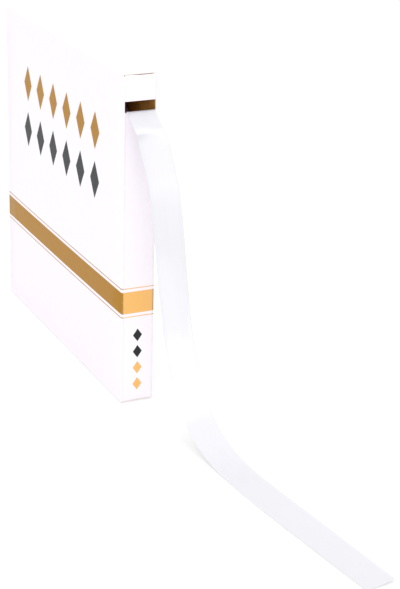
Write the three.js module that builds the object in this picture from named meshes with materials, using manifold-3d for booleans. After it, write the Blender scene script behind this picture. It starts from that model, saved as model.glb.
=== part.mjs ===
// A roll of white satin ribbon in a flat dispenser carton that stands on its narrow base.
// The ribbon rises off the front of the roll, bends over the lower lip of a slot in the narrow front,
// hangs down outside and runs out on the surface to its cut end.
//
// Millimetres, +Z up. The origin is the middle of the carton's base. +X points out of the narrow
// front, the way the ribbon leaves, and Y runs across the carton's thickness.

import * as THREE from 'three';
import { mergeVertices } from 'three/addons/utils/BufferGeometryUtils.js';
import Module from 'manifold-3d';

const wasm = await Module();
wasm.setup();

// The ribbon
const RIBBON_WIDTH = 15;
const ROLL_RADIUS = 82.5;
const ROLL_HOLE_RADIUS = 20;
const ROLL_RIM_BEVEL = 0.6;
const ROLL_FLAT_DEPTH = 0.4;
const ROLL_STEPS = 144;
const TAIL_THICKNESS = 1;
const TAIL_STEPS_PER_STATION = 5;
const RISE_STATIONS = 3;
const BEND_STATIONS = 2;
const LIP_LEAVING_ANGLE = 33;

// The carton
const DEPTH = 173;
const THICKNESS = 17.8;
const HEIGHT = 173;
const BOARD = 1;
const FOLD_RADIUS = 1.6;
const FOLD_STEPS = 5;
const GAP = 0.4;
const SLOT_LOW = 154;
const SLOT_HIGH = 159.7;
const SLOT_HALF_WIDTH = 8.2;
const DUST_FLAP_LENGTH = 14;
const TUCK_FLAP_HALF_LENGTH = 60;
const TUCK_FLAP_DEPTH = 3.4;

// Room between pieces, how far a joined piece reaches into its neighbour and a cut past the surface,
// and how near two points count as one.
const CLEARANCE = 0.3;
const LIP_CLEARANCE = 2.3;
const OVERLAP = 0.2;
const BEYOND = 5;
const MERGE_DISTANCE = 0.0001;

const FRONT = DEPTH / 2;
const INNER_DEPTH = DEPTH - 2 * BOARD;
const INNER_THICKNESS = THICKNESS - 2 * BOARD;
const ROLL_CENTRE_HEIGHT = BOARD + CLEARANCE + ROLL_RADIUS - ROLL_FLAT_DEPTH;

const whiteBoard = new THREE.MeshStandardMaterial({ color: 0xfaf6fa, roughness: 0.45, metalness: 0 });
const whiteSatin = new THREE.MeshStandardMaterial({ color: 0xf1f2f8, roughness: 0.3, metalness: 0 });

// Closed solid of a geometry, for cutting and joining.
function solidOf(geometry) {
  const bare = geometry.clone();
  bare.deleteAttribute('normal');
  bare.deleteAttribute('uv');
  const merged = mergeVertices(bare, MERGE_DISTANCE);
  return new wasm.Manifold(new wasm.Mesh({
    numProp: 3,
    vertProperties: new Float32Array(merged.attributes.position.array),
    triVerts: new Uint32Array(merged.index.array),
  }));
}

function geometryOf(solid) {
  const mesh = solid.getMesh();
  const geometry = new THREE.BufferGeometry();
  geometry.setAttribute('position', new THREE.BufferAttribute(new Float32Array(mesh.vertProperties), 3));
  geometry.setIndex(new THREE.BufferAttribute(new Uint32Array(mesh.triVerts), 1));
  geometry.computeVertexNormals();
  return geometry;
}

// Box between two corners.
function boxSolid(low, high) {
  const size = high.map((value, axis) => value - low[axis]);
  const geometry = new THREE.BoxGeometry(...size);
  geometry.translate(...high.map((value, axis) => (value + low[axis]) / 2));
  return solidOf(geometry);
}

// Upright block with rounded vertical corners, standing on z = 0.
function foldedBlock(length, width, height, radius) {
  const x = length / 2;
  const y = width / 2;
  const outline = new THREE.Shape();
  outline.absarc(x - radius, y - radius, radius, 0, Math.PI / 2);
  outline.absarc(-x + radius, y - radius, radius, Math.PI / 2, Math.PI);
  outline.absarc(-x + radius, -y + radius, radius, Math.PI, 1.5 * Math.PI);
  outline.absarc(x - radius, -y + radius, radius, 1.5 * Math.PI, 2 * Math.PI);
  return new THREE.ExtrudeGeometry(outline, { depth: height, bevelEnabled: false, curveSegments: FOLD_STEPS });
}

// The carton is one folded blank: walls, base and lid in one piece of board, hollow inside.
function cartonGeometry() {
  const innerX = INNER_DEPTH / 2;
  const innerY = INNER_THICKNESS / 2;
  const lidUnderside = HEIGHT - BOARD;
  const flapY = innerY - GAP;
  let carton = solidOf(foldedBlock(DEPTH, THICKNESS, HEIGHT, FOLD_RADIUS));
  carton = carton.subtract(boxSolid([-innerX, -innerY, BOARD], [innerX, innerY, lidUnderside]));

  // The slot that the ribbon comes out of.
  carton = carton.subtract(boxSolid(
    [innerX - OVERLAP, -SLOT_HALF_WIDTH, SLOT_LOW], [FRONT + BEYOND, SLOT_HALF_WIDTH, SLOT_HIGH]));

  // The lid hangs on the -Y face. Its other three edges, and the base's two short ones, are open joints.
  for (const end of [-1, 1]) {
    const [near, far] = [end * (innerX - OVERLAP), end * (FRONT + BEYOND)].sort((a, b) => a - b);
    carton = carton.subtract(boxSolid([near, -innerY, lidUnderside - GAP], [far, innerY, lidUnderside]));
    carton = carton.subtract(boxSolid([near, -innerY, BOARD], [far, innerY, BOARD + GAP]));
  }
  carton = carton.subtract(boxSolid(
    [-FRONT - BEYOND, flapY, lidUnderside - GAP], [FRONT + BEYOND, innerY, HEIGHT + BEYOND]));

  // Dust flaps fold in under the lid from the front and the back, and over the base.
  for (const end of [-1, 1]) {
    const root = end * (innerX + OVERLAP);
    const tip = end * (innerX - DUST_FLAP_LENGTH);
    const [near, far] = [root, tip].sort((a, b) => a - b);
    for (const top of [lidUnderside - GAP, 2 * BOARD + GAP]) {
      carton = carton.add(boxSolid([near, -flapY, top - BOARD], [far, flapY, top]));
    }
  }

  // The lid's tuck flap goes down inside the +Y face.
  carton = carton.add(boxSolid(
    [-TUCK_FLAP_HALF_LENGTH, flapY - BOARD, lidUnderside - TUCK_FLAP_DEPTH],
    [TUCK_FLAP_HALF_LENGTH, flapY, lidUnderside + OVERLAP]));
  return geometryOf(carton);
}

// The wound roll: a ring whose turns lie flush, with its axis along Y.
function rollGeometry() {
  const half = RIBBON_WIDTH / 2;
  const profile = [
    [ROLL_HOLE_RADIUS, -half],
    [ROLL_RADIUS - ROLL_RIM_BEVEL, -half],
    [ROLL_RADIUS, -half + ROLL_RIM_BEVEL],
    [ROLL_RADIUS, half - ROLL_RIM_BEVEL],
    [ROLL_RADIUS - ROLL_RIM_BEVEL, half],
    [ROLL_HOLE_RADIUS, half],
    [ROLL_HOLE_RADIUS, -half],
  ].map(([radius, along]) => new THREE.Vector2(radius, along));
  const ring = solidOf(new THREE.LatheGeometry(profile, ROLL_STEPS));
  const flatHeight = -ROLL_RADIUS + ROLL_FLAT_DEPTH;
  const reach = ROLL_RADIUS + BEYOND;
  return geometryOf(ring.subtract(boxSolid([-reach, -RIBBON_WIDTH, -reach], [reach, RIBBON_WIDTH, flatHeight])));
}

// Where the loose end lies, one row for each station: its middle, and how far its +Y edge is turned
// up or forward, in degrees. Forward is measured from the carton's front face. A row with no height
// lies on the surface, on its lower edge.
const TAIL_STATIONS = [
  { forward: 4.8, sideways: 0.9, height: 152, turn: 1 },
  { forward: 7.4, sideways: 2.2, height: 145.8, turn: 3 },
  { forward: 10.9, sideways: 4.1, height: 135.6, turn: 6 },
  { forward: 14.2, sideways: 5.6, height: 124, turn: 8 },
  { forward: 17, sideways: 6.8, height: 110, turn: 10 },
  { forward: 19.3, sideways: 7.9, height: 95, turn: 11 },
  { forward: 21.8, sideways: 8.4, height: 79.5, turn: 9.5 },
  { forward: 25, sideways: 8.8, height: 64.5, turn: 6.5 },
  { forward: 29.3, sideways: 9, height: 49, turn: 2.5 },
  { forward: 35.7, sideways: 9.2, height: 35, turn: 0.5 },
  { forward: 44.5, sideways: 9.4, height: 22.2, turn: 1 },
  { forward: 56, sideways: 9.7, height: 12, turn: 4 },
  { forward: 65.5, sideways: 10.1, height: 7, turn: 6.5 },
  { forward: 76, sideways: 10.6, height: 3.7, turn: 7.5 },
  { forward: 86, sideways: 11.1, height: 2.1, turn: 7 },
  { forward: 96, sideways: 11.7, turn: 7 },
  { forward: 114, sideways: 12.9, turn: 7.5 },
  { forward: 136, sideways: 14.8, turn: 8.5 },
  { forward: 160, sideways: 17.5, turn: 7.5 },
  { forward: 184, sideways: 20.1, turn: 6 },
  { forward: 207.5, sideways: 22.8, turn: 5 },
];

function heightOf(row) {
  const turn = THREE.MathUtils.degToRad(row.turn);
  return row.height ?? (RIBBON_WIDTH / 2) * Math.sin(turn) + (TAIL_THICKNESS / 2) * Math.cos(turn);
}

// The hidden stretch rises off the front of the roll, close behind the carton's narrow front, and
// bends over the slot's lower lip, round its inner edge first and then round its outer edge.
function hiddenStations() {
  const { lerp, degToRad } = THREE.MathUtils;
  const bendRadius = LIP_CLEARANCE + TAIL_THICKNESS / 2;
  const offRoll = ROLL_RADIUS + CLEARANCE + TAIL_THICKNESS / 2 - FRONT;
  const behindLip = -BOARD - bendRadius;
  const stations = [];
  for (let index = 0; index < RISE_STATIONS; index += 1) {
    const share = index / RISE_STATIONS;
    stations.push({ forward: lerp(offRoll, behindLip, share), height: lerp(ROLL_CENTRE_HEIGHT, SLOT_LOW, share) });
  }
  const bends = [
    { edge: -BOARD, from: 180, to: 90 },
    { edge: 0, from: 90, to: LIP_LEAVING_ANGLE },
  ];
  for (const { edge, from, to } of bends) {
    for (let index = 0; index <= BEND_STATIONS; index += 1) {
      const angle = degToRad(lerp(from, to, index / BEND_STATIONS));
      stations.push({
        forward: edge + bendRadius * Math.cos(angle),
        height: SLOT_LOW + bendRadius * Math.sin(angle),
      });
    }
  }
  return stations.map((station) => ({ ...station, sideways: 0, turn: 0 }));
}

// The flat ribbon is laid along its stations: each point of a long thin box is carried from its place
// along, across and through the ribbon to where it lies.
function tailGeometry() {
  const stations = [...hiddenStations(), ...TAIL_STATIONS];
  const middle = new THREE.CatmullRomCurve3(
    stations.map((row) => new THREE.Vector3(FRONT + row.forward, row.sideways, heightOf(row))), false, 'centripetal');
  const turns = new THREE.SplineCurve(stations.map((row, index) => new THREE.Vector2(index, row.turn)));
  const length = middle.getLength();
  const steps = TAIL_STEPS_PER_STATION * (stations.length - 1);
  const ribbon = new THREE.BoxGeometry(length, RIBBON_WIDTH, TAIL_THICKNESS, steps, 1, 1);
  const across = new THREE.Vector3(0, 1, 0);
  const points = ribbon.attributes.position;
  for (let index = 0; index < points.count; index += 1) {
    const along = THREE.MathUtils.clamp(points.getX(index) / length + 0.5, 0, 1);
    const tangent = middle.getTangent(along);
    const side = across.clone().addScaledVector(tangent, -across.dot(tangent)).normalize();
    side.applyAxisAngle(tangent, THREE.MathUtils.degToRad(turns.getPoint(along).y));
    const up = new THREE.Vector3().crossVectors(tangent, side);
    const place = middle.getPoint(along)
      .addScaledVector(side, points.getY(index))
      .addScaledVector(up, points.getZ(index));
    points.setXYZ(index, place.x, place.y, Math.max(place.z, 0));
  }
  return ribbon;
}

function part(name, geometry, material) {
  const mesh = new THREE.Mesh(geometry, material);
  mesh.name = name;
  return mesh;
}

const dispenser = new THREE.Group();
dispenser.add(part('carton', cartonGeometry(), whiteBoard));

const roll = part('ribbon_roll', rollGeometry(), whiteSatin);
roll.position.z = ROLL_CENTRE_HEIGHT;
dispenser.add(roll);

dispenser.add(part('ribbon_tail', tailGeometry(), whiteSatin));

export default dispenser;
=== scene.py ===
# %% [markdown]
# A roll of white satin ribbon in the flat carton that it is sold in and pulled from. The carton stands
# on its narrow base, and the ribbon comes out of a slot near the top of the narrow front. The solids of
# the part are loaded first as a fixed frame. Every piece made here takes its size and place from them.

# %% Load the frame
import math
import random
from bisect import bisect_right

import bmesh
import bpy
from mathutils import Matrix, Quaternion, Vector


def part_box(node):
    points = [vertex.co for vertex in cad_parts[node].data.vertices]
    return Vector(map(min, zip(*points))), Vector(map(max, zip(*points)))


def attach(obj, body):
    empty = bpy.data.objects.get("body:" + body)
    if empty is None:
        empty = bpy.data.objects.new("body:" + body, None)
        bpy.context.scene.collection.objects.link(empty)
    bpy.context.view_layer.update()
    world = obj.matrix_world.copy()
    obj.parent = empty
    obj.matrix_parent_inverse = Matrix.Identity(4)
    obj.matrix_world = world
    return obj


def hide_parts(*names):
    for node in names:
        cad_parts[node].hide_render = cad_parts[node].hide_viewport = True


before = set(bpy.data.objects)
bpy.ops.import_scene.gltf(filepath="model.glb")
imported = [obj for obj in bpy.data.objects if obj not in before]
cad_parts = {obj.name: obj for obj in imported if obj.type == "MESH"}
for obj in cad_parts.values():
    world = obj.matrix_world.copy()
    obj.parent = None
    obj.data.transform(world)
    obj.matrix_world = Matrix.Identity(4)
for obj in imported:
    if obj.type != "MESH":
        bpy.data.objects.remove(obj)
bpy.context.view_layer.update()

MM = 0.001
carton_low, carton_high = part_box("carton")
DEPTH, THICKNESS, HEIGHT = [side / MM for side in carton_high - carton_low]
FRONT = DEPTH / 2
SIDE = THICKNESS / 2
MIDDLE = HEIGHT / 2

# %% [markdown]
# The camera comes first, so that every later choice can be judged in the photograph's own view. It was
# found from the carton's corners: it stands low in front of the narrow face and looks along the carton.
# It could stand nearer with a wider lens, but a long lens from 84 cm away keeps the upright edges almost
# parallel, as they are there, and needs no shift.

# %% Camera
IMAGE_HEIGHT = 589
FOCAL_PIXELS = 1684.5
SENSOR_WIDTH = 36
CAMERA_AZIMUTH = math.radians(64.41)
CAMERA_ELEVATION = math.radians(21.28)
CAMERA_ROLL = math.radians(1.57)
CAMERA_DISTANCE = 839.8 * MM
LOOK_AT = Vector((108.1, 24.3, 63.5)) * MM
NEAREST_SEEN = 0.01
FARTHEST_SEEN = 50


def make_camera():
    data = bpy.data.cameras.new("camera")
    data.sensor_width = SENSOR_WIDTH
    data.lens = SENSOR_WIDTH * FOCAL_PIXELS / IMAGE_HEIGHT
    data.clip_start = NEAREST_SEEN
    data.clip_end = FARTHEST_SEEN
    camera = bpy.data.objects.new("camera", data)
    bpy.context.scene.collection.objects.link(camera)
    towards = Vector((
        -math.sin(CAMERA_AZIMUTH) * math.cos(CAMERA_ELEVATION),
        math.cos(CAMERA_AZIMUTH) * math.cos(CAMERA_ELEVATION),
        -math.sin(CAMERA_ELEVATION),
    ))
    level = towards.to_track_quat("-Z", "Y")
    camera.rotation_mode = "QUATERNION"
    camera.rotation_quaternion = level @ Quaternion((0, 0, 1), CAMERA_ROLL)
    camera.location = LOOK_AT - towards * CAMERA_DISTANCE
    bpy.context.scene.camera = camera
    return camera


camera = make_camera()
print("camera at", [round(c / MM) for c in camera.location], "lens", round(camera.data.lens, 1))

# %% [markdown]
# The picture is high key: a white table, white all round, and hardly a shadow. A studio gets that with a
# bright room and a table of white acrylic that is lit a little from below. A brighter lamp above would
# bleach the table too, but the ribbon with it. So the world is even and white, and the table has a faint
# glow of its own.

# %% Table and world
WHITE = (1, 1, 1, 1)
TABLE_SIZE = 12
TABLE_DROP = 0.1 * MM
TABLE_WHITE = (0.52, 0.52, 0.52, 1)
TABLE_GLOW = 0.42
TABLE_ROUGHNESS = 0.9
TABLE_SHINE = 0.2
WORLD_STRENGTH = 0.75


def make_table():
    bpy.ops.object.select_all(action="DESELECT")
    bpy.ops.mesh.primitive_plane_add(size=TABLE_SIZE, location=(0, 0, -TABLE_DROP))
    table = bpy.context.object
    table.name = "floor"
    acrylic = bpy.data.materials.new("pale_table")
    acrylic.use_nodes = True
    sockets = acrylic.node_tree.nodes["Principled BSDF"].inputs
    sockets["Base Color"].default_value = TABLE_WHITE
    sockets["Emission Color"].default_value = WHITE
    sockets["Emission Strength"].default_value = TABLE_GLOW
    sockets["Roughness"].default_value = TABLE_ROUGHNESS
    sockets["Specular IOR Level"].default_value = TABLE_SHINE
    table.data.materials.append(acrylic)


def make_world():
    world = bpy.data.worlds.new("studio")
    world.use_nodes = True
    sockets = world.node_tree.nodes["Background"].inputs
    sockets["Color"].default_value = WHITE
    sockets["Strength"].default_value = WORLD_STRENGTH
    bpy.context.scene.world = world
    bpy.context.scene.view_settings.view_transform = "Standard"


make_table()
make_world()
print("table", TABLE_SIZE, "m across, world strength", WORLD_STRENGTH)

# %% [markdown]
# A broad light from above and a smaller, lower one from the camera's side shape the faces, and the low
# one reaches in at the slot. Two panels, in front and to the right, are there only to be mirrored: the
# satin brightens where its bend faces them. The same lamps could do both jobs. Kept apart, the light on
# the faces can be set without laying a glare on ink and satin.

# %% Lights
TOP_STRENGTH = 1.75
TOP_FROM = Vector((0.10, -0.03, 0.99))
TOP_SOFTNESS = math.radians(90)
LOW_STRENGTH = 0.56
LOW_FROM = Vector((0.80, -0.52, 0.29))
LOW_SOFTNESS = math.radians(20)
PANEL_DISTANCE = 1.1
FRONT_PANEL = {"azimuth": 4, "elevation": 16, "width": 0.38, "height": 0.50, "power": 1.6}
SIDE_PANEL = {"azimuth": 27, "elevation": 42, "width": 0.50, "height": 0.95, "power": 3.0}


def make_light(name, kind, position, **settings):
    data = bpy.data.lights.new(name, kind)
    for key, value in settings.items():
        setattr(data, key, value)
    light = bpy.data.objects.new(name, data)
    bpy.context.scene.collection.objects.link(light)
    light.location = position
    light.rotation_mode = "QUATERNION"
    light.rotation_quaternion = (-position).to_track_quat("-Z", "Y")
    return light


def make_sun(name, direction, strength, softness):
    """A far light that no surface mirrors."""
    sun = make_light(name, "SUN", direction, energy=strength, angle=softness)
    sun.visible_glossy = False


def make_panel(name, azimuth, elevation, width, height, power):
    """A panel that is only mirrored. Its width and height are in metres."""
    turn = math.radians(azimuth)
    rise = math.radians(elevation)
    level = math.cos(rise)
    direction = Vector((math.cos(turn) * level, math.sin(turn) * level, math.sin(rise)))
    panel = make_light(
        name, "AREA", direction * PANEL_DISTANCE,
        energy=power, shape="RECTANGLE", size=width, size_y=height)
    panel.visible_camera = False
    panel.visible_diffuse = False


make_sun("top_light", TOP_FROM, TOP_STRENGTH, TOP_SOFTNESS)
make_sun("low_light", LOW_FROM, LOW_STRENGTH, LOW_SOFTNESS)
make_panel("front_panel", **FRONT_PANEL)
make_panel("side_panel", **SIDE_PANEL)
print("2 lights and 2 mirrored panels")

# %% [markdown]
# Each finish is a small tree of nodes, like a maker's recipe of coats. It could be wired by hand in the
# shader editor. In code the same steps can be read, repeated and changed. These helpers add a node,
# join sockets and give each texture a real scale: Object coordinates are metres, so they are multiplied
# up to millimetres first.

# %% Helpers for finishes


class Finish:
    """A new material with its shader, and short ways to add nodes to it."""

    def __init__(self, name):
        self.material = bpy.data.materials.new(name)
        self.material.use_nodes = True
        self.tree = self.material.node_tree
        self.shader = self.tree.nodes["Principled BSDF"]

    def set(self, **values):
        """Values for the shader's sockets, with _ for each space in their names."""
        for key, value in values.items():
            self.shader.inputs[key.replace("_", " ")].default_value = value

    def paint(self, socket, value):
        """Feeds one of the shader's own sockets."""
        self.feed(self.shader.inputs[socket], value)

    def feed(self, socket, value):
        if isinstance(value, bpy.types.NodeSocket):
            self.tree.links.new(value, socket)
        else:
            socket.default_value = value

    def node(self, kind, inputs=(), output=0, **settings):
        node = self.tree.nodes.new(kind)
        for key, value in settings.items():
            setattr(node, key, value)
        for key, value in dict(inputs).items():
            self.feed(node.inputs[key], value)
        return node.outputs[output]

    def math(self, operation, *values):
        return self.node("ShaderNodeMath", enumerate(values), operation=operation)

    def plus(self, first, second):
        return self.math("ADD", first, second)

    def minus(self, first, second):
        return self.math("SUBTRACT", first, second)

    def times(self, first, second):
        return self.math("MULTIPLY", first, second)

    def size(self, value):
        return self.math("ABSOLUTE", value)

    def largest(self, first, *others):
        return self.math("MAXIMUM", first, self.largest(*others)) if others else first

    def smallest(self, first, *others):
        return self.math("MINIMUM", first, self.smallest(*others)) if others else first

    def smooth(self, value, low, high, to_low=0.0, to_high=1.0):
        """to_low where value is under low, to_high where it is over high, and a soft step between."""
        return self.node(
            "ShaderNodeMapRange",
            {"Value": value, "From Min": low, "From Max": high, "To Min": to_low, "To Max": to_high},
            interpolation_type="SMOOTHSTEP")

    def mix(self, share, first, second):
        return self.node(
            "ShaderNodeMix", {"Factor": share, "A": first, "B": second}, "Result", data_type="RGBA")

    def place(self):
        """Object coordinates in millimetres."""
        metres = self.node("ShaderNodeTexCoord", output="Object")
        return self.node("ShaderNodeVectorMath", {0: metres, "Scale": 1 / MM}, operation="SCALE")

    def axes(self, vector):
        """The x, y and z of a vector."""
        split = self.tree.nodes.new("ShaderNodeSeparateXYZ")
        self.feed(split.inputs[0], vector)
        return tuple(split.outputs)

    def noise(self, vector, scale, detail=2.0, roughness=0.5):
        return self.node(
            "ShaderNodeTexNoise",
            {"Vector": vector, "Scale": scale, "Detail": detail, "Roughness": roughness})

    def stretched(self, vector, x, y, z):
        return self.node("ShaderNodeVectorMath", {0: vector, 1: (x, y, z)}, operation="MULTIPLY")

    def bump(self, height, distance, under=None):
        inputs = {"Height": height, "Distance": distance}
        if under is not None:
            inputs["Normal"] = under
        return self.node("ShaderNodeBump", inputs)


print("helpers for finishes:", ", ".join(name for name in vars(Finish) if not name.startswith("_")))

# %% [markdown]
# The carton is printed in gold and charcoal: a straight band right round it with a thin rule on
# each side, rows of lozenges on the large faces and a few small ones low on the narrow faces. The gold
# is painted deep on the large faces and lighter on the narrow faces, and the lighter gold is the same
# ink with a painted gleam. A picture wrapped round the box would blur close up. So the print is worked
# out from the place on the carton, and stays sharp at any size.

# %% Printed pattern
BAND_LOW = 49.3
BAND_HIGH = 61.0
RULE_GAP = 1.6
RULE_WIDTH = 0.5
INK_SPREAD = 0.05
LOZENGE_BLUR = 0.02
LARGE_LOZENGES = {"count": 6, "pitch": 20, "along_row": 12, "across_row": 20}
SMALL_LOZENGES = {"count": 2, "pitch": 9, "along_row": 7, "across_row": 5}
GOLD_ROW_HEIGHT = 136
DARK_ROW_HEIGHT = 110
SMALL_GOLD_HEIGHT = 14.5
SMALL_DARK_HEIGHT = 32.5
LARGE_FACE_DEPTH = 1.2


def between(finish, value, low, high):
    """1 where the value is between low and high, with an edge as soft as ink that spreads."""
    above = finish.smooth(value, low - INK_SPREAD, low + INK_SPREAD)
    below = finish.smooth(value, high - INK_SPREAD, high + INK_SPREAD, 1, 0)
    return finish.times(above, below)


def lozenges(finish, along, across, middle, level, count, pitch, along_row, across_row):
    """A row of lozenges round a middle along the row, at a level across it."""
    reach = count * pitch / 2
    shifted = finish.minus(along, middle - reach)
    local = finish.minus(finish.math("WRAP", shifted, pitch, 0), pitch / 2)
    step = finish.math("DIVIDE", finish.size(local), along_row / 2)
    rise = finish.math("DIVIDE", finish.size(finish.minus(across, level)), across_row / 2)
    shape = finish.smooth(finish.plus(step, rise), 1 - LOZENGE_BLUR, 1 + LOZENGE_BLUR, 1, 0)
    return finish.times(shape, between(finish, shifted, 0, 2 * reach))


def printed(finish, x, y, z):
    """Shares of gold with a painted gleam, deep gold and charcoal ink at a place on the carton."""
    large = finish.smooth(finish.size(y), SIDE - LARGE_FACE_DEPTH, SIDE - LARGE_FACE_DEPTH / 2)
    narrow = finish.minus(1, large)
    band = between(finish, z, BAND_LOW, BAND_HIGH)
    upper = between(finish, z, BAND_HIGH + RULE_GAP, BAND_HIGH + RULE_GAP + RULE_WIDTH)
    lower = between(finish, z, BAND_LOW - RULE_GAP - RULE_WIDTH, BAND_LOW - RULE_GAP)
    round_carton = finish.largest(band, upper, lower)
    gold_row = lozenges(finish, x, z, 0, GOLD_ROW_HEIGHT, **LARGE_LOZENGES)
    dark_row = lozenges(finish, x, z, 0, DARK_ROW_HEIGHT, **LARGE_LOZENGES)
    small_gold = lozenges(finish, z, y, SMALL_GOLD_HEIGHT, 0, **SMALL_LOZENGES)
    small_dark = lozenges(finish, z, y, SMALL_DARK_HEIGHT, 0, **SMALL_LOZENGES)
    # The gold on the narrow faces is the same ink as on the large faces, painted lighter: painted gleam.
    light = finish.times(narrow, finish.largest(round_carton, small_gold))
    deep = finish.times(large, finish.largest(round_carton, gold_row))
    dark_large = finish.times(large, dark_row)
    dark = finish.largest(dark_large, finish.times(narrow, small_dark))
    return light, deep, dark


print("band", round(BAND_HIGH - BAND_LOW, 1), "mm high")

# %% [markdown]
# Where the board is folded, its coating is stretched and rubbed, and beside each upright fold of the
# narrow faces the shade that falls in the pressed crease is painted in as a faint grey stripe: painted
# shade. Both could be painted by hand. Worked out from how near the carton's faces are, they follow the
# folds wherever those lie.

# %% Worn folds and painted crease shade
WEAR_STARTS = 1.1
WEAR_FULL = 0.5
WEAR_PATCHES_PER_MM = 0.9
WEAR_PATCH_EDGE = (0.35, 0.7)
# Where the painted crease shade lies: its distance from the corner, its reach, and where the narrow faces
# begin.
CREASE_FROM_CORNER = 1.0
CREASE_REACH = 0.7
NARROW_FACE_STARTS = 0.3
NARROW_FACE_FULL = 0.1


def fold_wear(finish, place, x, y, z):
    """1 on the folds, where two of the carton's faces are near at once, broken up into patches."""
    from_front = finish.minus(finish.size(x), FRONT)
    from_side = finish.minus(finish.size(y), SIDE)
    from_end = finish.minus(finish.size(finish.minus(z, MIDDLE)), MIDDLE)
    farthest = finish.smallest(from_front, from_side, from_end)
    total = finish.plus(from_front, finish.plus(from_side, from_end))
    from_nearest_two = finish.minus(total, farthest)
    patchy = finish.smooth(finish.noise(place, WEAR_PATCHES_PER_MM, detail=3), *WEAR_PATCH_EDGE)
    return finish.times(finish.smooth(from_nearest_two, -WEAR_STARTS, -WEAR_FULL), patchy)


def painted_crease_shade_mask(finish, x, y):
    """1 along the crease that was pressed beside each upright fold of the narrow faces, where shade is
    painted.
    """
    from_side = finish.minus(SIDE, finish.size(y))
    away = finish.size(finish.minus(from_side, CREASE_FROM_CORNER))
    line = finish.smooth(away, 0, CREASE_REACH, 1, 0)
    narrow = finish.smooth(finish.size(x), FRONT - NARROW_FACE_STARTS, FRONT - NARROW_FACE_FULL)
    return finish.times(line, narrow)


print("worn within", WEAR_STARTS, "mm of a fold, crease lines", CREASE_REACH, "mm to each side")

# %% [markdown]
# White coated board is smooth on the outside, with a soft sheen, a faint mottle, the fine grain of the
# board under its coating and slow waves from the glue. One flat white would look like plastic. So
# the tone, the roughness and three layers of bump each vary a little, and ink lies smoother than board.

# %% White coated board
BOARD_WHITE = (0.915, 0.866, 0.915, 1)
BOARD_MOTTLE = (0.903, 0.854, 0.905, 1)
BOARD_WORN = (0.80, 0.76, 0.80, 1)
# The gold of the narrow faces: the same ink as the deep gold, with a painted gleam.
GOLD_WITH_PAINTED_GLEAM = (0.86, 0.48, 0.155, 1)
GOLD_DEEP = (0.40, 0.19, 0.012, 1)
CHARCOAL = (0.026, 0.029, 0.030, 1)
MOTTLE_PER_MM = 0.5
MOTTLE_EDGE = (0.35, 0.65)
WEAR_SHARE = 0.3
INKED_WEAR_SHARE = 0.08
# How dark the painted crease shade is.
PAINTED_CREASE_SHADE = 0.93
BOARD_SHINE = 0.1
BOARD_ROUGHNESS = 0.40
MOTTLE_ROUGHNESS = 0.06
INK_SMOOTHNESS = 0.09
GRAIN_PER_MM = 2.2
GRAIN_HEIGHT = 0.006 * MM
WAVES_PER_MM = 0.035
WAVE_HEIGHT = 0.35 * MM
CRACK_DEPTH = 0.02 * MM


def white_coated_board():
    finish = Finish("white_coated_board")
    place = finish.place()
    x, y, z = finish.axes(place)
    mottle = finish.smooth(finish.noise(place, MOTTLE_PER_MM, detail=4), *MOTTLE_EDGE)
    colour = finish.mix(mottle, BOARD_WHITE, BOARD_MOTTLE)
    worn = fold_wear(finish, place, x, y, z)
    light, deep, dark = printed(finish, x, y, z)
    # The lighter gold on the narrow faces is a painted gleam on the one gold ink.
    for ink, tone in ((light, GOLD_WITH_PAINTED_GLEAM), (deep, GOLD_DEEP), (dark, CHARCOAL)):
        colour = finish.mix(ink, colour, tone)
    inked = finish.largest(light, deep, dark)
    share = finish.smooth(inked, 0, 1, WEAR_SHARE, INKED_WEAR_SHARE)
    colour = finish.mix(finish.times(worn, share), colour, BOARD_WORN)
    # Painted shade: the colour is darkened along each crease, where shade falls.
    creased = finish.math("MULTIPLY_ADD", painted_crease_shade_mask(finish, x, y), PAINTED_CREASE_SHADE - 1, 1)
    colour = finish.node("ShaderNodeVectorMath", {0: colour, "Scale": creased}, operation="SCALE")
    finish.paint("Base Color", colour)
    smoother = finish.times(finish.minus(inked, worn), -INK_SMOOTHNESS)
    rough = finish.plus(finish.math("MULTIPLY_ADD", mottle, MOTTLE_ROUGHNESS, BOARD_ROUGHNESS), smoother)
    finish.paint("Roughness", rough)
    grain = finish.bump(finish.noise(place, GRAIN_PER_MM, detail=3), GRAIN_HEIGHT)
    waves = finish.bump(finish.noise(place, WAVES_PER_MM), WAVE_HEIGHT, grain)
    finish.paint("Normal", finish.bump(finish.times(worn, -1), CRACK_DEPTH, waves))
    finish.set(Specular_IOR_Level=BOARD_SHINE)
    return finish.material


print("white coated board, light gold", GOLD_WITH_PAINTED_GLEAM[:3], "deep gold", GOLD_DEEP[:3])

# %% [markdown]
# The inside of the board is bare kraft: long brown fibres in all directions and small dark flecks.
# Where the board is cut, its pale core shows, in thin layers. Fibres could be drawn one by one, but
# they are finer than a pixel, so two noises, each drawn out one way, give their grain.

# %% Kraft and cut edge
KRAFT = (0.92, 0.49, 0.12, 1)
KRAFT_DARK = (0.80, 0.38, 0.07, 1)
KRAFT_FLECK = (0.24, 0.12, 0.04, 1)
KRAFT_ROUGHNESS = 0.85
FIBRE_LONG_WAY_PER_MM = 0.25
FIBRE_SHORT_WAY_PER_MM = 1.6
FIBRE_ROUGHNESS = 0.6
FIBRE_EDGE = (0.38, 0.62)
FIBRE_HEIGHT = 0.03 * MM
FLECKS_PER_MM = 1.1
FLECK_EDGE = (0.66, 0.72)
CORE_PALE = (0.90, 0.875, 0.86, 1)
CORE_GREY = (0.80, 0.77, 0.73, 1)
CORE_ROUGHNESS = 0.9
LAYERS_PER_MM = 4
LAYER_ROUGHNESS = 0.7
LAYER_EDGE = (0.4, 0.65)
LAYER_HEIGHT = 0.02 * MM


def drawn_out(finish, place, x, y, z):
    """Fibres that are longest along the axis with the smallest number."""
    return finish.noise(finish.stretched(place, x, y, z), 1, detail=4, roughness=FIBRE_ROUGHNESS)


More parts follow.
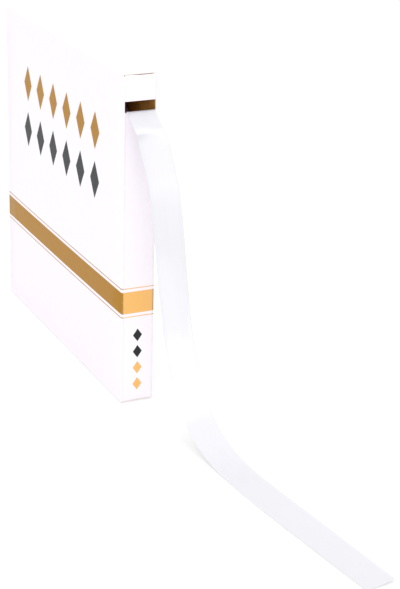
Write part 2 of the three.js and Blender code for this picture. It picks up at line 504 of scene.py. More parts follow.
def kraft_inside():
    finish = Finish("kraft_inside")
    place = finish.place()
    long_way, short_way = FIBRE_LONG_WAY_PER_MM, FIBRE_SHORT_WAY_PER_MM
    level = drawn_out(finish, place, long_way, short_way, short_way)
    upright = drawn_out(finish, place, short_way, short_way, long_way)
    fibres = finish.times(finish.plus(level, upright), 0.5)
    colour = finish.mix(finish.smooth(fibres, *FIBRE_EDGE), KRAFT, KRAFT_DARK)
    flecks = finish.smooth(finish.noise(place, FLECKS_PER_MM), *FLECK_EDGE)
    finish.paint("Base Color", finish.mix(flecks, colour, KRAFT_FLECK))
    finish.paint("Normal", finish.bump(fibres, FIBRE_HEIGHT))
    finish.set(Roughness=KRAFT_ROUGHNESS)
    return finish.material


def cut_board_edge():
    finish = Finish("cut_board_edge")
    grain = finish.noise(finish.place(), LAYERS_PER_MM, detail=3, roughness=LAYER_ROUGHNESS)
    layers = finish.smooth(grain, *LAYER_EDGE)
    finish.paint("Base Color", finish.mix(layers, CORE_PALE, CORE_GREY))
    finish.paint("Normal", finish.bump(layers, LAYER_HEIGHT))
    finish.set(Roughness=CORE_ROUGHNESS)
    return finish.material


print("kraft and cut edge, layers", 1 / LAYERS_PER_MM, "mm apart")

# %% [markdown]
# A carton is one flat blank of board that is creased, folded and glued. It could be cut from a solid
# block, but then it would have no flaps or joints. So it is modelled as the printed side of that sheet,
# folded up, and it gets the board's thickness at the end. The two ends are alike: the upper half is
# folded first, and a copy of it is turned down. The upright walls start as the four sides of a box.

# %% Carton walls
BOARD = 0.5
SLIP = 0.12
FOLD = 1.0
WALL_TOP = HEIGHT - BOARD - SLIP - FOLD
# How far off a place may be and still be picked.
SLACK = 0.02
FINE_SLACK = 0.01
WIDE_SLACK = 0.1


def near(value, target, slack=SLACK):
    return abs(value - target) < slack


def edit(piece):
    bpy.ops.object.select_all(action="DESELECT")
    bpy.context.view_layer.objects.active = piece
    piece.select_set(True)
    bpy.ops.object.mode_set(mode="EDIT")


def pick(piece, kind, test):
    """Selects the vertices, edges or faces whose middle, in millimetres, passes the test."""
    bpy.ops.mesh.select_mode(type=kind)
    bpy.ops.mesh.select_all(action="DESELECT")
    mesh = bmesh.from_edit_mesh(piece.data)
    found = 0
    for item in {"VERT": mesh.verts, "EDGE": mesh.edges, "FACE": mesh.faces}[kind]:
        points = [item.co] if kind == "VERT" else [v.co for v in item.verts]
        if test(sum(points, Vector()) / len(points) / MM):
            item.select_set(True)
            found += 1
    mesh.select_flush_mode()
    bmesh.update_edit_mesh(piece.data)
    return found


def move(x=0.0, y=0.0, z=0.0):
    bpy.ops.transform.translate(value=(x * MM, y * MM, z * MM))


def carton_walls():
    bpy.ops.object.select_all(action="DESELECT")
    bpy.ops.mesh.primitive_cube_add(size=1)
    board = bpy.context.object
    board.name = "carton_board"
    edit(board)
    bpy.ops.mesh.select_all(action="SELECT")
    bpy.ops.transform.resize(value=(DEPTH * MM, THICKNESS * MM, (WALL_TOP - MIDDLE) * MM))
    move(z=(WALL_TOP + MIDDLE) / 2)
    pick(board, "FACE", lambda m: near(m.z, MIDDLE) or near(m.z, WALL_TOP))
    bpy.ops.mesh.delete(type="ONLY_FACE")
    return board


board = carton_walls()
print("upright walls:", len(bmesh.from_edit_mesh(board.data).faces))

# %% [markdown]
# The blank's two ends meet at the back corner, where the back wall ends in a flap that is glued inside
# the side wall. A closed box has no such seam, so that corner is split open and the flap is drawn out of
# it. Board can't fold sharply: a bevel rounds every upright fold.

# %% Glue seam and rounded folds
INNER_FOLD = 0.9
FOLD_STEPS = 5
INNER_SIDE = SIDE - BOARD - SLIP
GLUE_FLAP_LENGTH = 12


def extrude_edges(x=0.0, y=0.0, z=0.0):
    bpy.ops.mesh.extrude_region_move(TRANSFORM_OT_translate={"value": (x * MM, y * MM, z * MM)})


def glue_seam(board):
    pick(board, "EDGE", lambda m: near(m.x, -FRONT) and near(m.y, SIDE))
    bpy.ops.mesh.edge_split(type="EDGE")
    pick(board, "FACE", lambda m: near(m.x, -FRONT))
    bpy.ops.mesh.select_mode(type="VERT")
    mesh = bmesh.from_edit_mesh(board.data)
    for vertex in mesh.verts:
        if vertex.co.y < 0:
            vertex.select_set(False)
    mesh.select_flush_mode()
    bmesh.update_edit_mesh(board.data)
    bpy.ops.mesh.select_mode(type="EDGE")
    move(y=INNER_SIDE - SIDE)
    extrude_edges(x=GLUE_FLAP_LENGTH)


def on_outer_fold(m):
    """True on three of the upright corners. The fourth is the glued seam."""
    return near(abs(m.y), SIDE) and (near(m.x, FRONT) or (near(m.x, -FRONT) and m.y < 0))


def round_folds(board):
    outer = pick(board, "EDGE", on_outer_fold)
    bpy.ops.mesh.bevel(offset=FOLD * MM, segments=FOLD_STEPS, affect="EDGES")
    inner = pick(board, "EDGE", lambda m: near(m.x, -FRONT) and near(m.y, INNER_SIDE))
    bpy.ops.mesh.bevel(offset=INNER_FOLD * MM, segments=FOLD_STEPS, affect="EDGES")
    return outer + inner


glue_seam(board)
print("upright folds:", round_folds(board))

# %% [markdown]
# At the top each wall goes on by itself. The two narrow walls fold in as dust flaps. The near large wall
# folds over as the lid, and the lid's end tucks down inside the far large wall. Flaps could be pieces
# of their own, but real ones hang on their folds. So each is extruded out of its wall and spun a quarter
# turn round its fold. The lid lies on the dust flaps, so a thin dark joint shows under its short edges.

# %% Lid and dust flaps
LID_HINGE = HEIGHT - FOLD
DUST_FLAP_LENGTH = 14
TUCK_FLAP_DEPTH = 12
TUCK_TAPER = 5
LID_SETBACK = 0.9


def fold_over(centre, axis):
    """Carries the picked edges a quarter turn round the fold's centre line."""
    bpy.ops.mesh.spin(
        steps=FOLD_STEPS, angle=-math.pi / 2, center=[c * MM for c in centre], axis=axis,
        use_auto_merge=False)


def dust_flap(board, end):
    def on_narrow_top(m):
        return near(m.z, WALL_TOP) and near(m.x, end * FRONT) and abs(m.y) < SIDE - FOLD

    pick(board, "EDGE", on_narrow_top)
    fold_over((end * (FRONT - FOLD), 0, WALL_TOP), (0, -end, 0))
    extrude_edges(x=end * (FOLD - DUST_FLAP_LENGTH))


def narrow_row(board, height, share):
    """Draws in both ends of the row of vertices at a height."""
    pick(board, "VERT", lambda m: near(m.z, height))
    bpy.ops.transform.resize(value=(share, 1, 1), center_override=(0, 0, HEIGHT * MM))


def lid(board):
    def on_hinge_side(m):
        return near(m.z, WALL_TOP) and near(m.y, -SIDE) and abs(m.x) < FRONT - FOLD

    pick(board, "EDGE", on_hinge_side)
    extrude_edges(z=LID_HINGE - WALL_TOP)
    fold_over((0, FOLD - SIDE, LID_HINGE), (-1, 0, 0))
    extrude_edges(y=INNER_SIDE - INNER_FOLD + SIDE - FOLD)
    fold_over((0, INNER_SIDE - INNER_FOLD, HEIGHT - INNER_FOLD), (-1, 0, 0))
    extrude_edges(z=INNER_FOLD - TUCK_FLAP_DEPTH)
    narrow_row(board, HEIGHT, (FRONT - LID_SETBACK) / (FRONT - FOLD))
    narrow_row(board, HEIGHT - TUCK_FLAP_DEPTH, 1 - TUCK_TAPER / FRONT)


dust_flap(board, 1)
dust_flap(board, -1)
lid(board)
print("lid, tuck flap and 2 dust flaps:", len(bmesh.from_edit_mesh(board.data).faces), "faces")

# %% [markdown]
# The far large wall is simply cut a little under the lid. The rounded corners run on up beside the
# flaps, as far as the cut between flap and lid, and the glue flap is cut short and slanted so that it
# clears the tuck. The walls could be trimmed with a knife, but moving the few top points does the same.

# %% Cut edges of the walls
CUT_TOP = HEIGHT - 0.8
GLUE_FLAP_TOP = HEIGHT - 15
GLUE_FLAP_TAPER = 8


def side_wall_top(board):
    pick(board, "EDGE", lambda m: near(m.z, WALL_TOP) and near(m.y, SIDE))
    extrude_edges(z=CUT_TOP - WALL_TOP)


def corner_tops(board):
    def on_corner_top(m):
        in_fold = SIDE - FOLD + FINE_SLACK < abs(m.y) < SIDE - FINE_SLACK
        return near(m.z, WALL_TOP) and abs(m.x) > FRONT - FOLD + FINE_SLACK and in_fold

    pick(board, "EDGE", on_corner_top)
    extrude_edges(z=LID_HINGE - WALL_TOP)


def trim_glue_flap(board):
    def on_flap_top(m, height, start):
        return near(m.z, height) and near(m.y, INNER_SIDE) and m.x > start - FRONT - WIDE_SLACK

    pick(board, "VERT", lambda m: on_flap_top(m, WALL_TOP, INNER_FOLD))
    move(z=GLUE_FLAP_TOP - WALL_TOP)
    pick(board, "VERT", lambda m: on_flap_top(m, GLUE_FLAP_TOP, GLUE_FLAP_LENGTH))
    move(z=-GLUE_FLAP_TAPER)


side_wall_top(board)
corner_tops(board)
trim_glue_flap(board)
print("walls cut:", len(bmesh.from_edit_mesh(board.data).faces), "faces")

# %% [markdown]
# Before it is folded, a crease is pressed into the board beside each fold, and it catches the light as
# a sharp block never does. It could be a bump in the finish, but its shade on the edge is a shape. So
# two cuts are made beside each upright fold, and the line of points next to the fold is pushed in.

# %% Creases
CREASE_FROM_FOLD = 0.15
CREASE_HALF_WIDTH = 0.2
CREASE_DEPTH = 0.08
VALLEY = FOLD + CREASE_FROM_FOLD
VALLEY_TOP = WALL_TOP + WIDE_SLACK


def cut(place, normal):
    bpy.ops.mesh.bisect(plane_co=[p * MM for p in place], plane_no=normal)


def cut_beside_folds(board, end, across):
    """Two cuts beside the fold on one side of a narrow wall, and two on one side of a large wall."""
    for offset in (VALLEY, VALLEY + CREASE_HALF_WIDTH):
        pick(board, "FACE", lambda m: near(m.x, end * FRONT) and m.z < WALL_TOP)
        cut((0, across * (SIDE - offset), 0), (0, 1, 0))
        pick(board, "FACE", lambda m: near(m.y, end * SIDE) and m.z < WALL_TOP)
        cut((across * (FRONT - offset), 0, 0), (1, 0, 0))


def press_valleys(board, end):
    def on_narrow_wall(m):
        return near(m.x, end * FRONT) and near(abs(m.y), SIDE - VALLEY) and m.z < VALLEY_TOP

    def on_large_wall(m):
        return near(m.y, end * SIDE) and near(abs(m.x), FRONT - VALLEY) and m.z < VALLEY_TOP

    pick(board, "VERT", on_narrow_wall)
    move(x=-end * CREASE_DEPTH)
    pick(board, "VERT", on_large_wall)
    move(y=-end * CREASE_DEPTH)


for end in (-1, 1):
    for across in (-1, 1):
        cut_beside_folds(board, end, across)
    press_valleys(board, end)
print("creased:", len(bmesh.from_edit_mesh(board.data).faces), "faces")

# %% [markdown]
# The large walls belly out a little over the full roll, most in the middle and not at all at the folds.
# A lattice or a proportional edit could do it. Here the walls and the lid are cut into a grid, and
# each point is moved out by a formula, which is exact and the same each time.

# %% Belly
BELLY = 0.5
BELLY_COLUMNS = 14
BELLY_ROWS = 7
BELLY_MARGIN = 1


def cut_grid(board):
    for column in range(1, BELLY_COLUMNS):
        pick(board, "FACE", lambda m: abs(m.y) > SIDE - FOLD or near(m.z, HEIGHT))
        across = (2 * column / BELLY_COLUMNS - 1) * (FRONT - FOLD - BELLY_MARGIN)
        cut((across, 0, 0), (1, 0, 0))
    for row in range(1, BELLY_ROWS):
        pick(board, "FACE", lambda m: m.z < WALL_TOP)
        cut((0, 0, MIDDLE + row / BELLY_ROWS * (WALL_TOP - MIDDLE)), (0, 0, 1))


def belly(board):
    for vertex in bmesh.from_edit_mesh(board.data).verts:
        x, y, z = vertex.co / MM
        if near(abs(y), SIDE, WIDE_SLACK) and abs(x) < FRONT - FOLD and z < WALL_TOP:
            along = 1 - (x / (FRONT - FOLD)) ** 2
            upwards = 1 - ((z - MIDDLE) / (WALL_TOP - MIDDLE)) ** 2
            vertex.co.y += math.copysign(BELLY * (along * upwards) * MM, y)
    bmesh.update_edit_mesh(board.data)


cut_grid(board)
belly(board)
print("bellied:", len(bmesh.from_edit_mesh(board.data).faces), "faces")

# %% [markdown]
# The base end is folded as the lid end is, so the finished half is copied, turned down and joined to the
# first half at the carton's middle. Turning a shape over with a negative scale turns it inside out, so
# its normals are recalculated once its doubles are merged, and before the board gets its thickness.

# %% Base end
JOIN_REACH = 0.002 * MM


def turn_down_a_copy(board):
    bpy.ops.mesh.select_all(action="SELECT")
    bpy.ops.mesh.duplicate()
    bpy.ops.transform.resize(value=(1, 1, -1), center_override=(0, 0, MIDDLE * MM))
    bpy.ops.mesh.select_all(action="SELECT")
    bpy.ops.mesh.remove_doubles(threshold=JOIN_REACH)
    bpy.ops.mesh.normals_make_consistent(inside=False)


turn_down_a_copy(board)
print("both ends:", len(bmesh.from_edit_mesh(board.data).faces), "faces")

# %% [markdown]
# The flap under the lid's front edge has sunk a little, so the joint there is wider and dark. Pushing
# the whole flap down would leave an even gap, as no real carton has. So the flap is cut into strips, and
# each cut sinks by its own amount.

# %% Sunken front flap
FLAP_SAGS = (
    # across the flap, how far it has sunk there
    (-4, 0.1), (-1, 0.3), (2.5, 0.36), (6, 0.33), (SIDE - FOLD, 0.05),
)
JOINT_BOTTOM = WALL_TOP + 0.05


def on_front_flap(m):
    above_wall = JOINT_BOTTOM < m.z < HEIGHT - BOARD
    on_flap = m.x > FRONT - DUST_FLAP_LENGTH - WIDE_SLACK and abs(m.y) < SIDE - FOLD + FINE_SLACK
    return above_wall and on_flap


def sag_front_flap(board):
    for across, _ in FLAP_SAGS[:-1]:
        pick(board, "FACE", on_front_flap)
        cut((0, across, 0), (0, 1, 0))
    for across, sag in FLAP_SAGS:
        pick(board, "VERT", lambda m: on_front_flap(m) and near(m.y, across))
        move(z=-sag)


sag_front_flap(board)
print("deepest sag:", max(sag for _, sag in FLAP_SAGS), "mm")

# %% [markdown]
# The slot is die-cut through the narrow front and on into its folds, so it shows from the side as well.
# A boolean could cut it, but four straight cuts and a deletion keep the mesh clean.

# %% Slot
SLOT_LOW = 154
SLOT_HIGH = 159.6
SLOT_HALF = 8.2


def cut_slot(board):
    def on_front(m):
        return m.x > FRONT - FOLD and MIDDLE < m.z < WALL_TOP

    def in_slot_rows(m):
        return m.x > FRONT - FOLD and SLOT_LOW < m.z < SLOT_HIGH

    for height in (SLOT_LOW, SLOT_HIGH):
        pick(board, "FACE", on_front)
        cut((0, 0, height), (0, 0, 1))
    for across in (-SLOT_HALF, SLOT_HALF):
        pick(board, "FACE", in_slot_rows)
        cut((0, across, 0), (0, 1, 0))
    pick(board, "FACE", lambda m: in_slot_rows(m) and abs(m.y) < SLOT_HALF)
    bpy.ops.mesh.delete(type="FACE")


cut_slot(board)
bpy.ops.object.mode_set(mode="OBJECT")
print("slot:", 2 * SLOT_HALF, "by", round(SLOT_HIGH - SLOT_LOW, 1), "mm")

# %% [markdown]
# Now the sheet gets the board's thickness. Its inner face could be modelled as well, but Solidify makes
# it from the outer one, all on the inner side, so that the printed faces stay where they are. The inner
# face is bare kraft, and the board's core shows round every edge.

# %% Thickness of the board
BOARD_SMOOTH_ANGLE = 35
INNER_FACE_FINISH = 1
CUT_EDGE_FINISH = 2


def make_active(piece):
    bpy.ops.object.select_all(action="DESELECT")
    bpy.context.view_layer.objects.active = piece
    piece.select_set(True)


def apply_modifier(piece, kind, **settings):
    make_active(piece)
    modifier = piece.modifiers.new(kind.lower(), kind)
    for key, value in settings.items():
        setattr(modifier, key, value)
    bpy.ops.object.modifier_apply(modifier=modifier.name)


def smooth(piece, degrees):
    make_active(piece)
    bpy.ops.object.shade_smooth_by_angle(angle=math.radians(degrees))


for material in (white_coated_board(), kraft_inside(), cut_board_edge()):
    board.data.materials.append(material)
apply_modifier(
    board, "SOLIDIFY", thickness=BOARD * MM, offset=-1, use_even_offset=True,
    material_offset=INNER_FACE_FINISH, material_offset_rim=CUT_EDGE_FINISH)
smooth(board, BOARD_SMOOTH_ANGLE)
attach(board, "root")
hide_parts("carton")
print("carton board:", len(board.data.polygons), "faces")

# %% [markdown]
# The wound roll fills the carton. Its two flat sides show the edges of all its turns, pressed together
# but never quite level. A real spiral of 300 turns would be far too heavy. So one circle is extruded
# outwards in small steps, each a few turns wide and a little proud or shy of the last, then across the
# rim, and back in on the other side.

# %% Shape of the wound roll
RIBBON_WIDTH = 15
HALF_WIDTH = RIBBON_WIDTH / 2
roll_low, roll_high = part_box("ribbon_roll")
ROLL_RADIUS = (roll_high.x - roll_low.x) / 2 / MM
ROLL_CENTRE = roll_high.z / MM - ROLL_RADIUS
ROLL_HOLE = 20
ROLL_SEGMENTS = 160
ROLL_STEPS = 48
ROLL_UNEVEN = 0.12
ROLL_SEED = 7
STEP_SOFTNESS = 0.1
RIM_SOFTNESS = 0.15


def roll_section():
    """Radius and y of each ring, from the hole out over one side, across the rim and back in."""
    uneven = random.Random(ROLL_SEED)
    side = []
    for step in range(ROLL_STEPS):
        inner = ROLL_HOLE + (ROLL_RADIUS - ROLL_HOLE) * step / ROLL_STEPS
        outer = ROLL_HOLE + (ROLL_RADIUS - ROLL_HOLE) * (step + 1) / ROLL_STEPS
        height = HALF_WIDTH - uneven.uniform(0, ROLL_UNEVEN)
        side += [(inner + STEP_SOFTNESS, height), (outer - STEP_SOFTNESS, height)]
    side[-1] = (ROLL_RADIUS - RIM_SOFTNESS, HALF_WIDTH)
    near_side = [(radius, -y) for radius, y in side]
    rim = [(ROLL_RADIUS, RIM_SOFTNESS - HALF_WIDTH), (ROLL_RADIUS, HALF_WIDTH - RIM_SOFTNESS)]
    return near_side + rim + side[::-1]


def grow_ring(radius, y, last_radius):
    """Extrudes the picked ring, and carries it out or in to a radius and across to y."""
    bpy.ops.mesh.extrude_region_move()
    share = radius / last_radius
    bpy.ops.transform.resize(value=(share, 1, share), center_override=(0, 0, 0))
    mesh = bmesh.from_edit_mesh(bpy.context.edit_object.data)
    for vertex in mesh.verts:
        if vertex.select:
            vertex.co.y = y * MM
    bmesh.update_edit_mesh(bpy.context.edit_object.data)


def close_hole(roll, hole_radius):
    """Joins the first and the last ring by the wall of the hole."""
    def on_hole_edge(m):
        return math.hypot(m.x, m.z) < hole_radius + SLACK and abs(m.y) > HALF_WIDTH / 2

    pick(roll, "EDGE", on_hole_edge)
    bpy.ops.mesh.bridge_edge_loops()
    bpy.ops.mesh.select_all(action="SELECT")
    bpy.ops.mesh.normals_make_consistent(inside=False)


def wound_roll():
    section = roll_section()
    hole_radius, hole_side = section[0]
    bpy.ops.object.select_all(action="DESELECT")
    bpy.ops.mesh.primitive_circle_add(
        vertices=ROLL_SEGMENTS, radius=hole_radius * MM, fill_type="NOTHING",
        rotation=(math.pi / 2, 0, 0))
    roll = bpy.context.object
    roll.name = "wound_ribbon"
    bpy.ops.object.transform_apply(rotation=True)
    edit(roll)
    bpy.ops.mesh.select_mode(type="EDGE")
    bpy.ops.mesh.select_all(action="SELECT")
    move(y=hole_side)
    for (last_radius, _), (radius, y) in zip(section, section[1:]):
        grow_ring(radius, y, last_radius)
    close_hole(roll, hole_radius)
    bpy.ops.mesh.select_all(action="SELECT")
    move(z=ROLL_CENTRE)
    bpy.ops.object.mode_set(mode="OBJECT")
    return roll


roll = wound_roll()
print("wound roll:", len(roll.data.polygons), "faces,", round(2 * ROLL_RADIUS), "mm across")

# %% [markdown]
# On the roll the satin is seen edge on. Its turns are 0.2 mm apart, too fine for the mesh, so the lines
# between them are a bump that follows the distance from the roll's centre. Some turns were wound tighter
# than others, which shows as faint rings of light and dark, and a noise along that distance gives them.

# %% Satin of the wound roll
SATIN_WHITE = (0.682, 0.681, 0.718, 1)
SATIN_SHADE = (0.674, 0.673, 0.711, 1)
SATIN_IOR = 1.6
SATIN_SHEEN = 0.08
TURN_PITCH = 0.2
TURN_DEPTH = 0.03 * MM
RINGS_PER_MM = 0.7
PATCHES_PER_MM = 0.08
PATCH_SHARE = 0.5
RING_EDGE = (0.6, 0.9)
ROLL_ROUGHNESS = 0.38
RING_ROUGHNESS = 0.15
ROLL_SHINE = 0.8
ROLL_SMOOTH_ANGLE = 50


def wound_satin():
    finish = Finish("wound_satin")
    place = finish.place()
    centred = finish.node(
        "ShaderNodeVectorMath", {0: place, 1: (0, 0, -ROLL_CENTRE)}, operation="ADD")
    flat = finish.stretched(centred, 1, 0, 1)
    radius = finish.node("ShaderNodeVectorMath", {0: flat}, "Value", operation="LENGTH")
    turns = finish.math("SINE", finish.times(radius, 2 * math.pi / TURN_PITCH))
    rings = finish.node(
        "ShaderNodeTexNoise", {"W": radius, "Scale": RINGS_PER_MM, "Detail": 3}, noise_dimensions="1D")
    patches = finish.noise(place, PATCHES_PER_MM, detail=3)
    shade = finish.smooth(finish.plus(rings, finish.times(patches, PATCH_SHARE)), *RING_EDGE)
    finish.paint("Base Color", finish.mix(shade, SATIN_WHITE, SATIN_SHADE))
    finish.paint("Roughness", finish.math("MULTIPLY_ADD", rings, RING_ROUGHNESS, ROLL_ROUGHNESS))
    finish.paint("Normal", finish.bump(turns, TURN_DEPTH))
    finish.set(Specular_IOR_Level=ROLL_SHINE, IOR=SATIN_IOR, Sheen_Weight=SATIN_SHEEN)
    return finish.material


roll.data.materials.append(wound_satin())
smooth(roll, ROLL_SMOOTH_ANGLE)
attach(roll, "root")
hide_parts("ribbon_roll")
print("about", round((ROLL_RADIUS - ROLL_HOLE) / TURN_PITCH), "turns drawn")

# %% [markdown]
# The loose end rises off the front of the roll, bends over the slot's lower lip, falls in one long bow,
# turns on its way down and runs out on the table. A cloth simulation would let so narrow a strip swing
# and settle by chance. So the points of its path are given one by one, as the cloth hangs, and one
# smooth curve is drawn through them.

# %% Path of the loose end
PATH = (
    # forward of the narrow front, sideways, height, degrees that the far edge is turned up or forward
    (-3.8, 0, 83.4, 0), (-3.5, 0, 107, 0), (-3, 0, 130, 0), (-2.3, 0, 147.5, 0),
    (-1.9, 0.3, 152, 0), (-1.45, 0.3, 153.5, 0), (-0.65, 0.35, 154.3, 0), (0.4, 0.4, 154.25, 0),
    (1.5, 0.45, 153.6, -1), (3.4, 0.5, 152.1, -2.5), (5.6, 0.6, 150.2, -3), (8.8, 0.9, 147.3, -2),
    (9.5, 1.15, 146.4, 0), (9.9, 1.45, 145.1, 2.5), (10.4, 1.95, 142.7, 5), (11.1, 2.7, 139.5, 6.5),
    (11.95, 3.6, 135.4, 7.3), (13.9, 5.4, 126, 8.5), (16.2, 6.6, 115.9, 10),
    (17.8, 7.3, 105.6, 11), (19.3, 7.9, 95.3, 11), (20.8, 8.3, 85, 10.5), (22.7, 8.6, 74.7, 8.7),
    (24.9, 8.9, 64.5, 6.4), (27.5, 9, 54.4, 3.7), (31, 9.1, 44.5, 1.4), (35.5, 9.2, 35.1, 0.2),
    (41.2, 9.3, 26.3, 0.6), (48, 9.5, 18.5, 2), (56.1, 9.7, 11.8, 4.3), (65.2, 10.1, 6.8, 6.6),
    (75, 10.6, 3.5, 7.5), (85.3, 11.1, 1.9, 7.1), (95.7, 11.7, 1.2, 6.9), (116.6, 13, 1.2, 8),
    (137.4, 14.9, 1.3, 8.6), (158.1, 17.3, 1.2, 7.8), (178.9, 19.6, 1, 6.4), (207.8, 22.8, 0.8, 5.2),
)
PATH_SAMPLES = 24


def lengths_along(points):
    """How far along the path each point lies. A point is x, y, z and the turn."""
    lengths = [0.0]
    for a, b in zip(points, points[1:]):
        lengths.append(lengths[-1] + (b.xyz - a.xyz).length)
    return lengths


def slopes_along(points, spans):
    """How the path changes at each point: its two spans' slopes, the shorter span's counting for more."""
    straight = [(b - a) / span for a, b, span in zip(points, points[1:], spans)]
    inner = [
        (into * after + out * before) / (before + after)
        for into, out, before, after in zip(straight, straight[1:], spans, spans[1:])]
    return [straight[0]] + inner + [straight[-1]]


def smooth_path(rows):
    """Points close together on one smooth curve through the rows, with the turn carried along it."""
    points = [Vector((FRONT + forward, *others)) for forward, *others in rows]
    knots = lengths_along(points)
    spans = [after - before for before, after in zip(knots, knots[1:])]
    slopes = slopes_along(points, spans)
    line = []
    for start, end, leaving, arriving, span in zip(points, points[1:], slopes, slopes[1:], spans):
        for step in range(PATH_SAMPLES):
            t = step / PATH_SAMPLES
            line.append(
                start * (2 * t ** 3 - 3 * t ** 2 + 1) + leaving * span * (t ** 3 - 2 * t ** 2 + t)
                + end * (3 * t ** 2 - 2 * t ** 3) + arriving * span * (t ** 3 - t ** 2))
    return line + [points[-1]]


line = smooth_path(PATH)
reach = lengths_along(line)
RIBBON_LENGTH = reach[-1]
print("loose end:", round(RIBBON_LENGTH, 1), "mm long")

# %% [markdown]
# Satin is woven with long floats of warp that lie side by side along the ribbon, so it is glossy, and
# its gloss is drawn out across the ribbon, as on brushed metal. A plain gloss would look like wet
# plastic. An anisotropic highlight is right for it, with its direction taken from the ribbon's own map.
# The floats, the faint streaks along the cloth and the ribbed, firm selvedge at its edges are bump and
# small changes of tone from the same map. A little light passes through the cloth.

# %% Satin of the loose end
SATIN_ROUGHNESS = 0.30
SATIN_GLOSS = {
    "Specular_IOR_Level": 1.0, "IOR": SATIN_IOR, "Anisotropic": 0.8, "Anisotropic_Rotation": 0.25,
    "Sheen_Weight": SATIN_SHEEN, "Sheen_Roughness": 0.4,
}
LIGHT_THROUGH = {
    "Subsurface_Weight": 0.2, "Subsurface_Radius": (1, 1, 1), "Subsurface_Scale": 0.5 * MM,
}
STREAK_LONG_WAY_PER_MM = 0.02
STREAK_SHORT_WAY_PER_MM = 1.6
STREAK_GRAIN = 0.6
STREAK_EDGE = (0.4, 0.65)
STREAK_ROUGHNESS = 0.04
STREAK_HEIGHT = 0.02 * MM
FLOAT_LENGTH = 0.8
FLOAT_GAP = 0.02
THREAD_PITCH = 0.16
WEAVE_HEIGHT = 0.006 * MM
SELVEDGE = 0.5
SELVEDGE_BLEND = 0.1
SELVEDGE_TONE = 0.8
SELVEDGE_ROUGHNESS = 0.15
SELVEDGE_RIB = 2


def ribbon_map(finish, length):
    """Millimetres from the ribbon's middle line, and the place along and across it as a vector."""
    share_along, share_across, _ = finish.axes(finish.node("ShaderNodeTexCoord", output="UV"))
    along = finish.times(share_along, length)
    across = finish.math("MULTIPLY_ADD", share_across, RIBBON_WIDTH, -HALF_WIDTH)
    return across, finish.node("ShaderNodeCombineXYZ", {0: along, 1: across})


def weave(finish, place, selvedge):
    """Height of the cloth: sunken joints between the floats, and ribs on the selvedge."""
    joints = finish.node(
        "ShaderNodeTexBrick",
        {"Vector": place, "Scale": 1, "Mortar Size": FLOAT_GAP, "Mortar Smooth": 1,
         "Brick Width": FLOAT_LENGTH, "Row Height": THREAD_PITCH}, "Fac")
    sunken = finish.times(joints, finish.minus(selvedge, 1))
    ribs = finish.node("ShaderNodeTexWave", {"Vector": place, "Scale": 1}, "Fac", bands_direction="X")
    return finish.plus(sunken, finish.times(ribs, finish.times(selvedge, SELVEDGE_RIB)))


def woven_satin(length):
    finish = Finish("woven_satin")
    across, place = ribbon_map(finish, length)
    finish.set(**SATIN_GLOSS, **LIGHT_THROUGH)
    finish.paint("Tangent", finish.node("ShaderNodeTangent", direction_type="UV_MAP"))
    streak_place = finish.stretched(place, STREAK_LONG_WAY_PER_MM, STREAK_SHORT_WAY_PER_MM, 1)
    streaks = finish.noise(streak_place, 1, detail=3, roughness=STREAK_GRAIN)
    inner = HALF_WIDTH - SELVEDGE
    selvedge = finish.smooth(finish.size(across), inner, inner + SELVEDGE_BLEND)
    streaky = finish.smooth(streaks, *STREAK_EDGE)
    shade = finish.largest(streaky, finish.times(selvedge, SELVEDGE_TONE))
    finish.paint("Base Color", finish.mix(shade, SATIN_WHITE, SATIN_SHADE))
    rough = finish.math("MULTIPLY_ADD", streaks, STREAK_ROUGHNESS, SATIN_ROUGHNESS - STREAK_ROUGHNESS / 2)
    finish.paint("Roughness", finish.math("MULTIPLY_ADD", selvedge, SELVEDGE_ROUGHNESS, rough))
    woven = finish.bump(weave(finish, place, selvedge), WEAVE_HEIGHT)
    finish.paint("Normal", finish.bump(streaks, STREAK_HEIGHT, woven))
    return finish.material


print("satin:", round(1 / THREAD_PITCH), "threads to a millimetre of width")

# %% [markdown]
# The loose end was cut flat, 15 mm wide. Sweeping a section along a curve would give it no sizes of its
# own. So it is a flat grid of the ribbon's own size, with narrow columns at its two edges for the
# selvedge. Each point of the grid is carried from its place along and across the ribbon to where the
# cloth lies there, and Solidify gives the cloth its thickness.

# %% Loose end
RIBBON_THICKNESS = 0.24
RIBBON_STEPS = 620
SURFACE_LIFT = 0.15
SELVEDGE_RISE = 0.05
SELVEDGE_COLUMNS = (0.95, 0.985)
HALF_COLUMNS = (0.4, 0.7, 0.92, *SELVEDGE_COLUMNS, 1)
COLUMNS = (*[-share for share in reversed(HALF_COLUMNS)], 0, *HALF_COLUMNS)
RIBBON_SMOOTH_ANGLE = 60


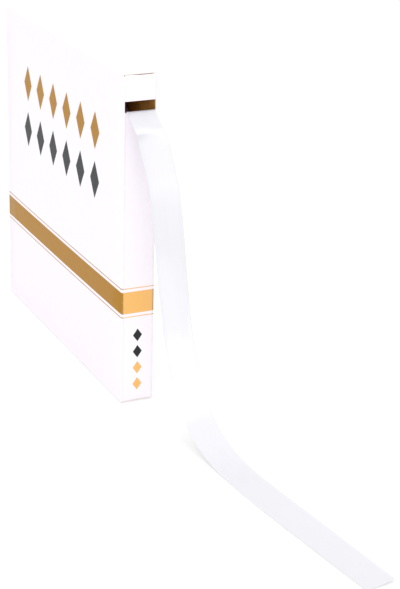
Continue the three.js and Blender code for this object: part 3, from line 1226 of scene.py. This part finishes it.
def station(along):
    """Middle, sideways and upwards directions of the ribbon at a distance along it, in millimetres."""
    index = min(max(bisect_right(reach, along) - 1, 0), len(line) - 2)
    share = (along - reach[index]) / (reach[index + 1] - reach[index])
    here = line[index].lerp(line[index + 1], share)
    before, after = line[max(index - 1, 0)], line[min(index + 2, len(line) - 1)]
    tangent = (after.xyz - before.xyz).normalized()
    side = Vector((0, 1, 0)) - tangent * tangent.y
    side.normalize()
    side.rotate(Quaternion(tangent, math.radians(here.w)))
    return here.xyz, side, tangent.cross(side)


def column_share(grid_share):
    """Where one of the grid's even columns is moved to, from -1 at one edge to 1 at the other."""
    return COLUMNS[round(grid_share * (len(COLUMNS) - 1))]


def loose_end():
    bpy.ops.object.select_all(action="DESELECT")
    bpy.ops.mesh.primitive_grid_add(
        x_subdivisions=RIBBON_STEPS, y_subdivisions=len(COLUMNS) - 1, size=2, calc_uvs=True)
    ribbon = bpy.context.object
    ribbon.name = "loose_ribbon"
    for vertex in ribbon.data.vertices:
        middle, side, up = station((vertex.co.x + 1) / 2 * RIBBON_LENGTH)
        share = column_share((vertex.co.y + 1) / 2)
        place = middle + side * (share * HALF_WIDTH)
        if abs(share) in SELVEDGE_COLUMNS:
            place += up * SELVEDGE_RISE
        place.z = max(place.z, SURFACE_LIFT)
        vertex.co = place * MM
    return ribbon


def fit_map(ribbon):
    """Moves the columns of the ribbon's map to where they lie across it."""
    for corner in ribbon.data.uv_layers.active.data:
        corner.uv.y = (column_share(corner.uv.y) + 1) / 2


ribbon = loose_end()
fit_map(ribbon)
ribbon.data.materials.append(woven_satin(RIBBON_LENGTH))
apply_modifier(ribbon, "SOLIDIFY", thickness=RIBBON_THICKNESS * MM, offset=0, use_even_offset=True)
smooth(ribbon, RIBBON_SMOOTH_ANGLE)
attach(ribbon, "root")
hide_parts("ribbon_tail")
print("loose ribbon:", len(ribbon.data.polygons), "faces")

# %% [markdown]
# The finished model stands for the same object as the solids, so it has to keep their size.
